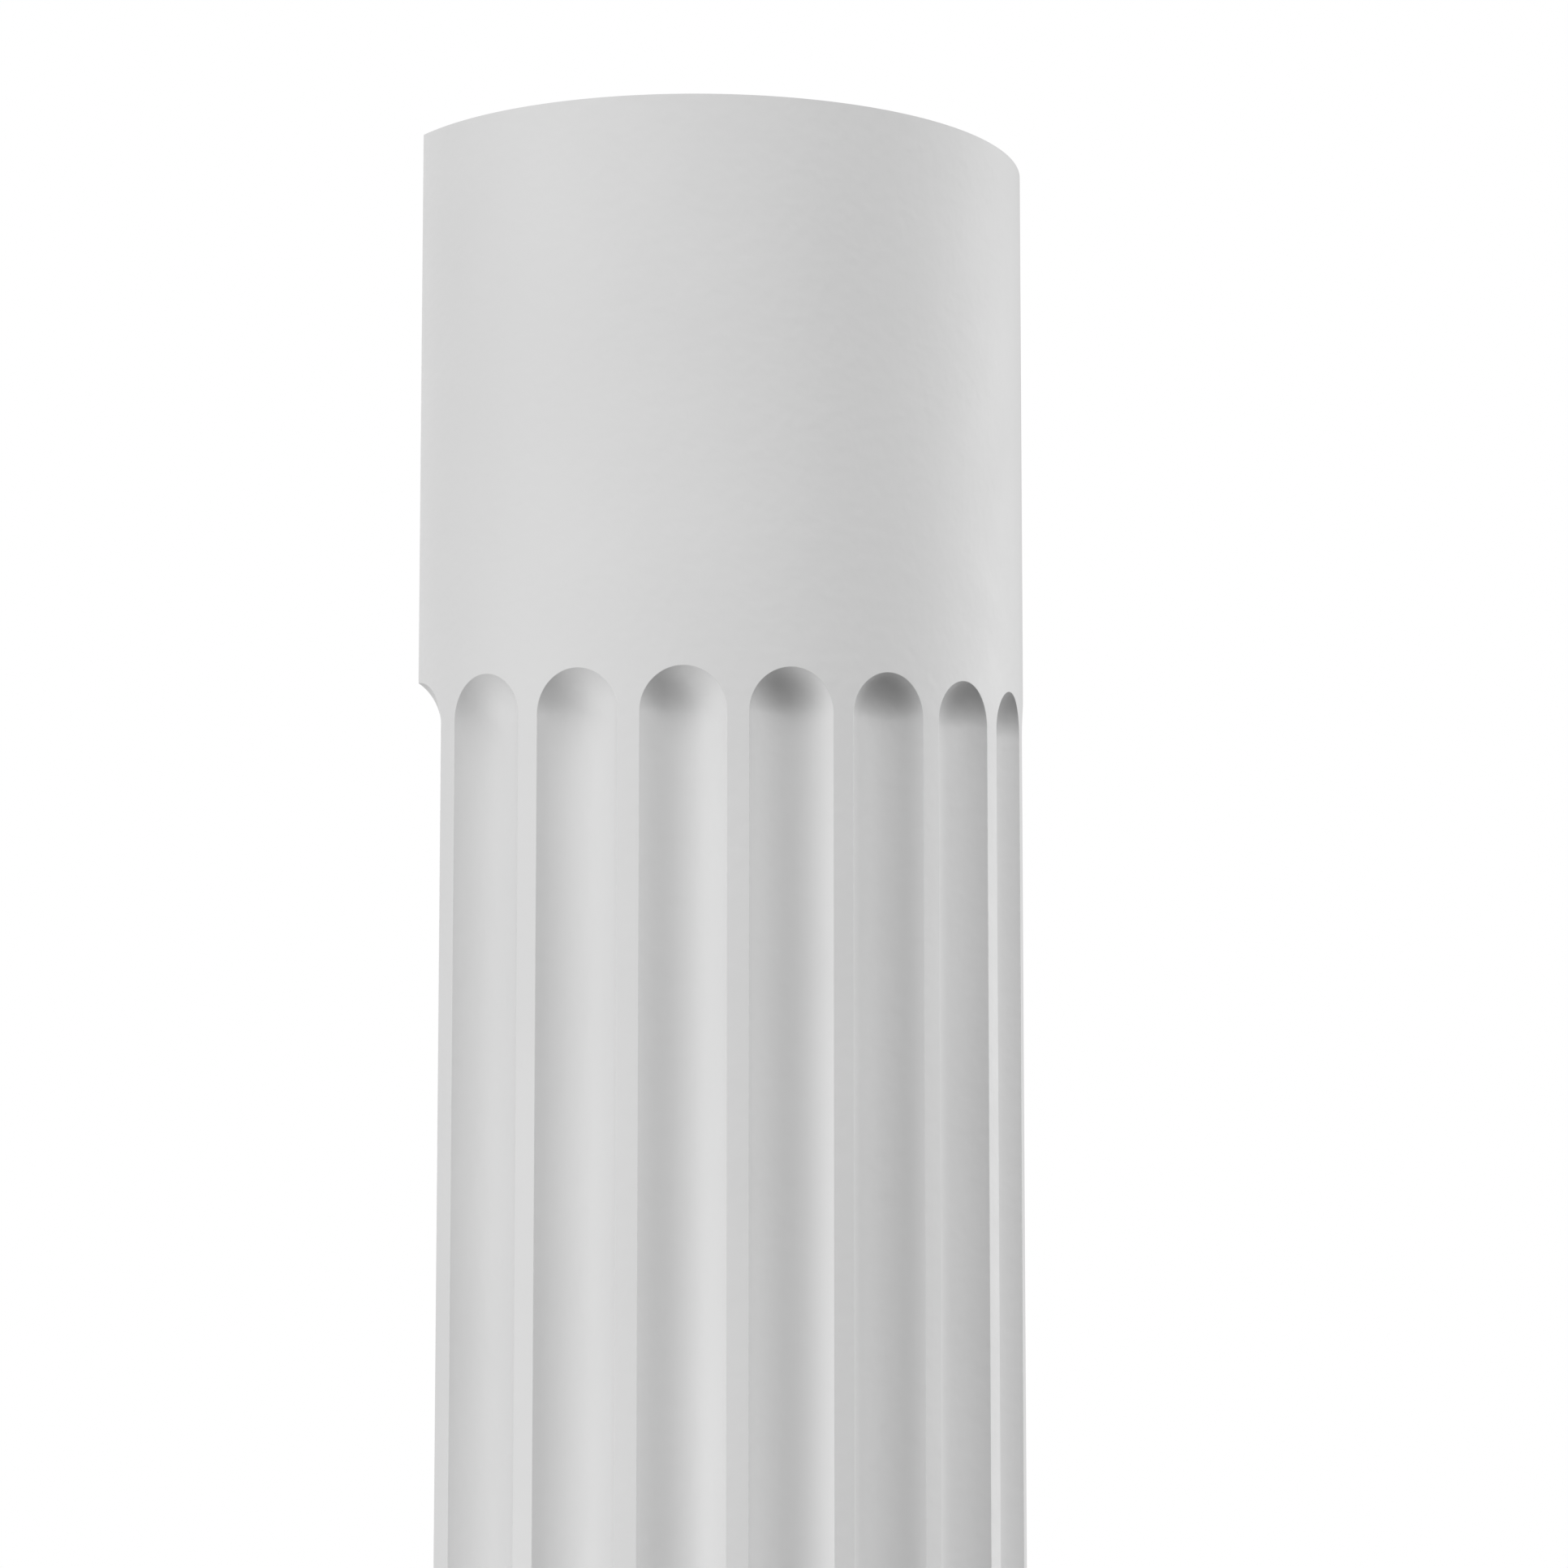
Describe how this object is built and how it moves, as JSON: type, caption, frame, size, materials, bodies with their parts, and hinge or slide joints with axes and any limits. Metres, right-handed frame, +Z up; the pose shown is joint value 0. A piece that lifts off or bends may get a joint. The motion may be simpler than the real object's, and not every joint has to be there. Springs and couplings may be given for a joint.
{
  "type": "half column shaft",
  "caption": "Fluted half-round column shaft with plain bands at both ends and a flat back, set against a wall as decoration between a base and a capital.",
  "frame": {"origin": "on the floor under the middle of the footprint: X = Y = 0 is the middle of the half disc's width and depth, and Z = 0 is the foot", "axes": "+Z up the shaft, +Y out of the flat back towards the wall, -Y out of the middle of the round front"},
  "size_m": [0.22, 0.11, 2.02],
  "materials": {
    "white_primer": "matt white primer on smooth hard foam"
  },
  "bodies": {
    "root": {"half_column_shaft": "white_primer"}
  },
  "joints": []
}
